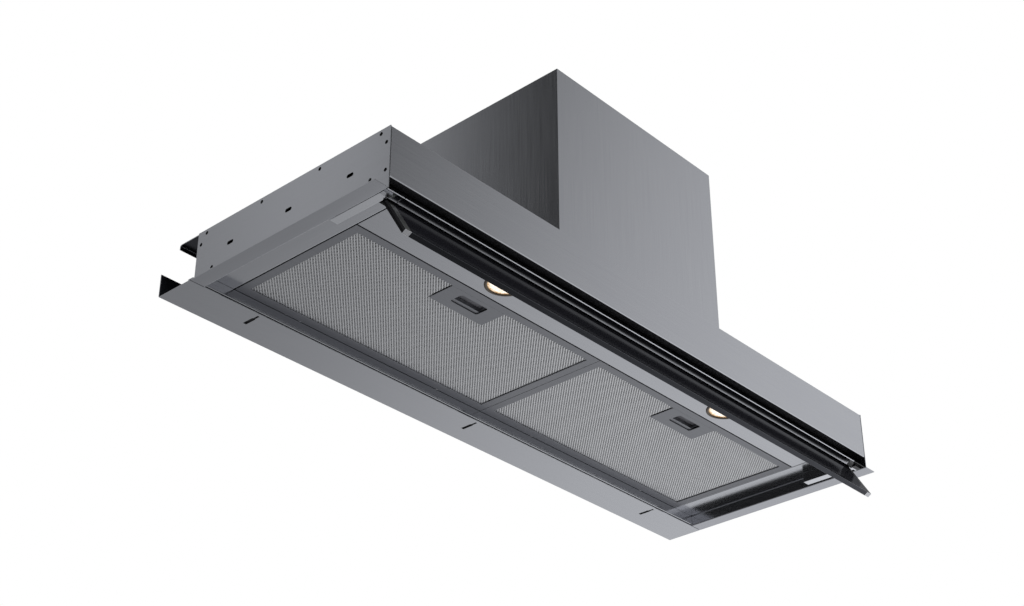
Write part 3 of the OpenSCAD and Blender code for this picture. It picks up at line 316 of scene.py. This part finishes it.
def turned(profile, centre, steps, closed=False):
    """Surface of revolution about the vertical through the centre: (r cos a, r sin a, z) for each (r, z). A
    closed profile joins its last point to its first."""
    profile = np.asarray(profile, float)
    angle = np.linspace(0, 2 * np.pi, steps, endpoint=False)
    r, z = profile[:, :1], profile[:, 1:]
    points = np.stack([r * np.cos(angle), r * np.sin(angle), z + 0 * angle], -1) + np.array([*centre, 0.0])
    return points, grid_quads(len(profile), steps, wrap_rows=closed, wrap_columns=True)


def settle(thing, node):
    """Rides on the node's body and stands for the node, which it hides."""
    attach(thing, nodes[node]["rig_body"])
    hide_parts(node)
    return thing


def dressed(node, finish, edge, sharp=38.0, flat=0.4):
    """Copy of a CAD solid: triangles joined to flat faces, folds shaded smooth and edges broken by a bevel of
    the edge's width in millimetres. Folds over the sharp angle are edges, and under the flat one vanish."""
    mesh = bpy.data.meshes.new(node + "_piece")
    work = bmesh.new()
    work.from_mesh(nodes[node].data)
    bmesh.ops.remove_doubles(work, verts=work.verts, dist=0.001 * MM)
    bmesh.ops.dissolve_limit(work, angle_limit=math.radians(flat), verts=work.verts, edges=work.edges)
    for face in work.faces:
        face.smooth = True
    work.to_mesh(mesh)
    work.free()
    if "custom_normal" in mesh.attributes:
        mesh.attributes.remove(mesh.attributes["custom_normal"])
    mesh.set_sharp_from_angle(angle=math.radians(sharp))
    mesh.materials.clear()
    mesh.materials.append(FINISH[finish])
    thing = bpy.data.objects.new(node + "_piece", mesh)
    bpy.context.scene.collection.objects.link(thing)
    if edge:
        bevel = thing.modifiers.new("edges", "BEVEL")
        bevel.width = edge * MM
        bevel.segments = 2
        bevel.limit_method = "ANGLE"
        bevel.angle_limit = math.radians(sharp)
    # Flat faces keep their own normal, so that only the folds shade round.
    weighted = thing.modifiers.new("flat_faces", "WEIGHTED_NORMAL")
    weighted.keep_sharp = True
    weighted.weight = 100
    return settle(thing, node)


# The finish of each node that keeps its CAD shape.
SHEET = {
    "end_panel_left": "deep", "end_panel_right": "deep", "fascia": "long", "top_plate": "deep",
    "rear_wall": "long", "light_bar": "long", "side_bar_left": "deep", "side_bar_right": "deep",
    "rear_strip": "long", "blower_housing": "upright", "control_box": "zinc", "control_box_lid": "zinc",
    "strip_guides": "zinc", "motor_bracket": "zinc", "flap_trough": "black", "front_rail": "rail",
    # The right end piece of the rail takes glossy black as painted shade; the left one keeps the rail's
    # finish.
    "rail_corner_left": "rail", "rail_corner_right": "stub", "hinge_cover_left": "cover",
    "hinge_cover_right": "cover", "hinge_block_left": "nylon", "hinge_block_right": "nylon",
    "flap_carrier": "matte", "flap_glass": "glass", "flap_edge_strip": "edge", "flap_end_cap_left": "cap",
    "flap_end_cap_right": "cap", "flap_pins": "ground", "touch_board": "board", "power_board": "board",
    "duct_collar": "collar", "damper_spindle": "ground", "damper_left": "damper", "damper_right": "damper",
    "fan_scroll": "scroll", "impeller": "fan", "fan_shaft": "ground", "motor": "enamel",
    "cable_gland": "nylon", "lamp_modules": "cast", "panel_rivets": "rivet", "housing_screws": "screw",
    "strip_studs": "rivet", "filter_frame_left": "filter", "filter_frame_right": "filter",
    "filter_grip_left": "filter", "filter_grip_right": "filter", "filter_latch_left": "filter",
    "filter_latch_right": "filter", "filter_pack_left": "foil", "filter_pack_right": "foil",
    "latch_spring_left": "ground", "latch_spring_right": "ground",
}
# Widths of the broken edges in millimetres, where they differ from plain sheet's. Thin foil has none.
PLAIN_EDGE = 0.25
EDGE = {"filter_pack_left": 0, "filter_pack_right": 0, "latch_spring_left": 0, "latch_spring_right": 0,
        "flap_glass": 0.4, "flap_carrier": 0.5, "duct_collar": 0.5, "motor": 1.2, "control_box": 0.35,
        "blower_housing": 0.6, "impeller": 0.15, "filter_grip_left": 0.4, "filter_grip_right": 0.4,
        "filter_frame_left": 0.6, "filter_frame_right": 0.6, "panel_rivets": 0.3, "front_rail": 0.3}
dressed_pieces = {node: dressed(node, finish, EDGE.get(node, PLAIN_EDGE)) for node, finish in SHEET.items()}

# Each zigzag leaf spring gets a mesh of its own; on the real hood the springs fold up against the end of the
# grip's cup as the latches are pulled 5 mm.
for side in SIDES:
    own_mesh(dressed_pieces["latch_spring_" + side])


def faced(node, finish, choose):
    """Gives a second finish to the faces whose normals (N, 3) and centres (N, 3) the rule chooses."""
    mesh = dressed_pieces[node].data
    mesh.materials.append(FINISH[finish])
    normals = np.empty(len(mesh.polygons) * 3)
    centres = np.empty(len(mesh.polygons) * 3)
    index = np.empty(len(mesh.polygons), np.int32)
    mesh.polygons.foreach_get("normal", normals)
    mesh.polygons.foreach_get("center", centres)
    mesh.polygons.foreach_get("material_index", index)
    index[choose(normals.reshape(-1, 3), centres.reshape(-1, 3))] = len(mesh.materials) - 1
    mesh.polygons.foreach_set("material_index", index)


# Cosine above which a face counts as square to an axis, and heights and depths in metres.
SQUARE = 0.9
STRIP_HEM = UNDER + 2 * MM
KNUCKLE_Y = (13.6 - WALL_Y) * MM
PLATE_T = 1.05 * MM
CUP_LEDGE = 0.9 * MM
CUP_REACH = 19 * MM
TIP_H = 5.2 * MM

# The underside of the fascia's return is in the rail's shadow gap and is drawn black as painted shade.
faced("fascia", "black", lambda n, c: n[:, 2] < -SQUARE)
# Painted shade: the rear wall is drawn a shade darker inside the recess and black underneath, beside the
# filters.
faced("rear_wall", "shade", lambda n, c: n[:, 1] < -0.95)
faced("rear_wall", "black", lambda n, c: n[:, 2] < -SQUARE)
# The gap to the wall is painted shade, drawn dark: the strip's flange above its bright front hem, and the top
# plate from below.
faced("rear_strip", "dim", lambda n, c: (n[:, 1] < -SQUARE) & (c[:, 2] > STRIP_HEM))
faced("top_plate", "dim", lambda n, c: (n[:, 1] < -SQUARE) | (n[:, 2] < -SQUARE))
for side in SIDES:
    # The knuckle behind the black end piece of the rail is bright like the hinge cover.
    faced("rail_corner_" + side, "cover", lambda n, c: c[:, 1] > KNUCKLE_Y)
    # The end panels' downward faces, flange and fold, take the darker sheet as painted shade.
    faced("end_panel_" + side, "flange", lambda n, c: n[:, 2] < -0.2)
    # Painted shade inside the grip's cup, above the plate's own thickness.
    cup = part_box("filter_grip_" + side)[0].z + PLATE_T
    latch_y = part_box("filter_latch_" + side)[0].y
    faced("filter_grip_" + side, "pocket", lambda n, c: (c[:, 2] > cup) | (
        (c[:, 2] > cup - CUP_LEDGE) & (abs(n[:, 2]) < 0.5) & (abs(c[:, 1] - latch_y) < CUP_REACH)))
    # The flap's end caps are dull beside the glass, bright at the free edge and painted black on the end.
    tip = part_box("flap_end_cap_" + side)[0].z + TIP_H
    # On the right the cap above its bright tip is drawn black as painted shade.
    if side == "right":
        faced("flap_end_cap_right", "black", lambda n, c: c[:, 2] > tip)
    faced("flap_end_cap_" + side, "tip", lambda n, c: c[:, 2] < tip)
    faced("flap_end_cap_" + side, "black", lambda n, c: abs(n[:, 0]) > SQUARE)


# Lamps, in millimetres

LAMP_X = 200.0
LAMP_Y = 53.6
AROUND = 96


def lamp_bezel(side, centre):
    """Ring turned from its profile: a half-ellipse lip (m + h cos a, z - d sin a) under the light bar, and a
    barrel that goes up through the bar's hole."""
    seat, top = 14.2, 20.2
    outer, inner, barrel = 24.4, 20.8, 22.6
    play, droop = 0.1, 0.7
    angle = np.linspace(0, np.pi, 13)[:, None]
    middle = np.array([(outer + inner) / 2, seat - 3 * play])
    lip = middle + np.hstack([(outer - inner) / 2 * np.cos(angle), -droop * np.sin(angle)])
    profile = np.vstack([lip, [[inner, top], [barrel - play, top], [barrel - play, seat - play],
                               [outer, seat - play]]])
    points, quads = turned(profile, centre, AROUND, closed=True)
    bezel = piece(f"lamp_bezel_{side}_ring", placed(points), quads[:, ::-1], "bezel")
    bezel.data.set_sharp_from_angle(angle=math.radians(50))
    settle(bezel, "lamp_bezel_" + side)


def lamp_lens(side, centre):
    """Lens with a shallow dome z = low + rise (r / radius) ** 2 below and a flat back."""
    radius, low, rise, thick = 20.7, 13.75, 0.9, 2.0
    hub = 0.01
    # Even rings from the hub to near the rim, and two more at the rim's edge.
    r = np.concatenate([[hub], np.linspace(1.2, radius - 0.5, 16), [radius - 0.1, radius]])
    face = np.stack([r, low + rise * (r / radius) ** 2], -1)
    profile = np.vstack([face, [[radius, low + thick], [hub, low + thick]]])
    points, quads = turned(profile, centre, AROUND)
    lens = piece(f"lamp_lens_{side}_glass", placed(points), quads[:, ::-1], "lamp")
    rim = lens.data.attributes.new("to_rim", "FLOAT", "POINT")
    rim.data.foreach_set("value", np.repeat(profile[:, 0] / radius, AROUND).astype(np.float32))
    # Merging the hub's points closes both middles.
    work = bmesh.new()
    work.from_mesh(lens.data)
    bmesh.ops.remove_doubles(work, verts=work.verts, dist=2.5 * hub * MM)
    work.to_mesh(lens.data)
    work.free()
    settle(lens, "lamp_lens_" + side)


for side, way in zip(SIDES, (-1, 1)):
    lamp_bezel(side, (way * LAMP_X, LAMP_Y))
    lamp_lens(side, (way * LAMP_X, LAMP_Y))


# Filters, in millimetres

FILTER_X = 195.15


def expanded_metal(side, middle):
    """Expanded sheet: strand k is a ribbon at y = k s / 2 + (s / 4) tri(x / l + k / 2), so that neighbours
    meet at their crests and leave square holes l long and s wide across their corners. The real holes are
    about half as large, and these are drawn so that they show."""
    long, short, width, thick, lean, slack = 4.1, 4.1, 1.2, 0.6, 0.06, 0.92
    # The sheet runs 1 mm under its frame all round and leaves out the grip's plate.
    half, front, rear, low = 183.85 + 1.0, 98.1 - 1.0, 266.5 + 1.0, 15.25
    grip_half, grip_rear = 42.6, 98.1 + 36.7
    strands = int((rear - front) / (short / 2))
    steps = int(2 * half / (long / 2))
    k, i = np.meshgrid(np.arange(strands + 1), np.arange(steps + 1), indexing="ij")
    x = -half + i * (2 * half / steps)
    tri = np.where((i + k) % 2 == 0, 1.0, -1.0)
    y = front + k * (rear - front) / strands + tri * short / 4 * slack
    # Four corners of the ribbon's section; the strand leans, which makes its crests glint.
    section = np.array([[-width / 2, lean], [width / 2, 0.0], [width / 2, thick - lean], [-width / 2, thick]])
    corners = len(section)
    points = np.stack([np.broadcast_to(x[..., None] + middle, (*x.shape, corners)),
                       y[..., None] + section[:, 0], low + 0 * y[..., None] + section[:, 1]], -1)
    points = points.reshape(-1, 3)
    run = grid_quads(steps + 1, corners, wrap_columns=True)
    first = np.arange(strands + 1) * (steps + 1) * corners
    quads = (run[None] + first[:, None, None]).reshape(-1, 4)
    centre = points[quads].mean(1)
    quads = quads[~((abs(centre[:, 0] - middle) < grip_half) & (centre[:, 1] < grip_rear))]
    used, quads = np.unique(quads, return_inverse=True)
    strands_piece = piece(f"filter_mesh_{side}_strands", placed(points[used]), quads, "mesh", smooth=False)
    settle(strands_piece, "filter_mesh_" + side)


for side, way in zip(SIDES, (-1, 1)):
    expanded_metal(side, way * FILTER_X)


# Stage, light and camera

def direction(azimuth, elevation):
    """Unit vector, azimuth from +X towards +Y and elevation above the horizon, in degrees."""
    a = math.radians(azimuth)
    e = math.radians(elevation)
    return (math.cos(e) * math.cos(a), math.cos(e) * math.sin(a), math.sin(e))


# Angles in degrees, levels as radiances. The screen starts and is full at these angles from +X.
SCREEN_EDGE, SCREEN_FULL = 61, 39
BASE_LEVEL, SCREEN_LEVEL, STRIP_LEVEL, LEAST_LEVEL = 0.28, 0.71, 0.27, 0.015
# Soft lobes: azimuth, elevation, width and height, which darkens below zero.
LOBES = (
    (-60, 36, 12, -0.24), (12, 62, 13, -0.25), (0, 90, 17, 0.5), (-90, 5, 25, 0.1),
    (-37, -25, 10, 0.42), (-16, -50, 8, -0.4), (-136, -24, 6, 0.9), (180, 0, 22, 0.15))
# The strip light and its flag stand in this lobe. Their edges are cosines to the direction of the sweep.
BEHIND = (165, 5, 38)
SWEEP = (46.5, 0)
STRIP_FADE, FLAG_START, FLAG_END = (0.085, 0.165), (-0.02, 0.07), (-0.62, -0.42)


def studio():
    """Soft studio: a large bright screen on the right, a low base all round, an upright strip light behind
    on the left with a dark flag beside it, and lobes of height * exp((cos t - 1) / width ** 2)."""
    world = bpy.data.worlds.new("studio")
    bpy.context.scene.world = world
    world.use_nodes = True
    tree = world.node_tree
    ray = add(tree, "ShaderNodeTexCoord").outputs["Generated"]
    cosine = {"operation": "DOT_PRODUCT"}
    eased = {"interpolation_type": "SMOOTHSTEP"}
    times = {"operation": "MULTIPLY"}
    times_plus = {"operation": "MULTIPLY_ADD"}
    minus = {"operation": "SUBTRACT"}

    def lobe(azimuth, elevation, width):
        """exp((cos t - 1) / width ** 2), where t is the angle to the lobe's middle."""
        near = add(tree, "ShaderNodeVectorMath", cosine, {0: ray, 1: direction(azimuth, elevation)})
        off = add(tree, "ShaderNodeMath", minus, {0: near.outputs["Value"], 1: 1.0})
        power = add(tree, "ShaderNodeMath", times, {0: off.outputs[0], 1: 1 / math.radians(width) ** 2})
        return add(tree, "ShaderNodeMath", {"operation": "EXPONENT"}, {0: power.outputs[0]}).outputs[0]

    right = add(tree, "ShaderNodeVectorMath", cosine, {0: ray, 1: direction(0, 0)})
    total = add(tree, "ShaderNodeMapRange", eased, {
        "Value": right.outputs["Value"], "From Min": math.cos(math.radians(SCREEN_EDGE)),
        "From Max": math.cos(math.radians(SCREEN_FULL)), "To Min": BASE_LEVEL,
        "To Max": SCREEN_LEVEL}).outputs["Result"]
    for azimuth, elevation, width, height in LOBES:
        total = add(tree, "ShaderNodeMath", times_plus, {
            0: lobe(azimuth, elevation, width), 1: height, 2: total}).outputs[0]
    # Round the housing's left side the strip light fades, then the flag takes over and ends further round.
    across = add(tree, "ShaderNodeVectorMath", cosine, {0: ray, 1: direction(*SWEEP)}).outputs["Value"]
    behind = add(tree, "ShaderNodeMath", {"use_clamp": True, **times}, {0: lobe(*BEHIND), 1: 2.0})
    strip = add(tree, "ShaderNodeMapRange", eased, {
        "Value": across, "From Min": STRIP_FADE[0], "From Max": STRIP_FADE[1], "To Min": STRIP_LEVEL,
        "To Max": 0.0})
    total = add(tree, "ShaderNodeMath", times_plus, {
        0: behind.outputs[0], 1: strip.outputs["Result"], 2: total})
    flag_start = add(tree, "ShaderNodeMapRange", eased, {
        "Value": across, "From Min": FLAG_START[0], "From Max": FLAG_START[1], "To Min": 1.0, "To Max": 0.0})
    flag_end = add(tree, "ShaderNodeMapRange", eased, {
        "Value": across, "From Min": FLAG_END[0], "From Max": FLAG_END[1]})
    flag = add(tree, "ShaderNodeMath", times, {
        0: flag_start.outputs["Result"], 1: flag_end.outputs["Result"]})
    shut = add(tree, "ShaderNodeMath", times, {0: behind.outputs[0], 1: flag.outputs[0]})
    left_open = add(tree, "ShaderNodeMath", minus, {0: 1.0, 1: shut.outputs[0]})
    total = add(tree, "ShaderNodeMath", times, {0: total.outputs[0], 1: left_open.outputs[0]})
    total = add(tree, "ShaderNodeMath", {"operation": "MAXIMUM"}, {0: total.outputs[0], 1: LEAST_LEVEL})
    # A trace of blue in the light, and plain white where the backdrop itself is seen.
    light = add(tree, "ShaderNodeVectorMath", {"operation": "SCALE"}, {
        0: (0.985, 1.0, 1.035), "Scale": total.outputs[0]})
    seen = add(tree, "ShaderNodeLightPath").outputs["Is Camera Ray"]
    tone = add(tree, "ShaderNodeMix", {"data_type": "RGBA"}, {
        "Factor": seen, 6: light.outputs[0], 7: (1.0, 1.0, 1.0, 1.0)})
    tree.links.new(tone.outputs[2], tree.nodes["Background"].inputs["Color"])


studio()

# Metres from here on, as Blender's objects are.
FLOOR_HALF, FLOOR_Z = 9.0, -2.25
SOFTBOX_SIZE, SOFTBOX_POWER, SOFTBOX_PLACE = 3.0, 60.0, (0.0, -0.2, 3.2)
# The camera, solved by least squares from nineteen corners of the photograph; its angles are in degrees.
EYE_PLACE = (-1.409314, -1.384701, -0.976459 + UNDER)
EYE_TURN = (120.586227, -0.021323, -47.855494)
FOCAL_LENGTH, FILM_WIDTH = 62.16664, 36.0

ground = moulded("pale_studio_floor", "#e4e4e5", "#efefef", 0.8, 4.0, 0.1,
                 Emission_Color=linear("#f4f4f5"), Emission_Strength=0.42)
floor_mesh = bpy.data.meshes.new("studio_floor")
floor_mesh.from_pydata([(x * FLOOR_HALF, y * FLOOR_HALF, FLOOR_Z) for x, y in (
    (-1, -1), (1, -1), (1, 1), (-1, 1))], [], [(0, 1, 2, 3)])
floor_mesh.materials.append(ground)
floor = bpy.data.objects.new("studio_floor", floor_mesh)
bpy.context.scene.collection.objects.link(floor)
floor.visible_glossy = False

softbox = bpy.data.lights.new("overhead_softbox", "AREA")
softbox.shape = "SQUARE"
softbox.size = SOFTBOX_SIZE
softbox.energy = SOFTBOX_POWER
overhead = bpy.data.objects.new("overhead_softbox", softbox)
overhead.location = SOFTBOX_PLACE
overhead.visible_glossy = False
bpy.context.scene.collection.objects.link(overhead)

camera = bpy.data.cameras.new("photo_camera")
camera.sensor_fit = "HORIZONTAL"
camera.sensor_width = FILM_WIDTH
camera.lens = FOCAL_LENGTH
camera.clip_start = 0.02
camera.clip_end = 100.0
eye = bpy.data.objects.new("photo_camera", camera)
eye.location = EYE_PLACE
eye.rotation_euler = [math.radians(angle) for angle in EYE_TURN]
bpy.context.scene.collection.objects.link(eye)
bpy.context.scene.camera = eye
bpy.context.scene.view_settings.view_transform = "Standard"
bpy.context.scene.view_settings.look = "None"
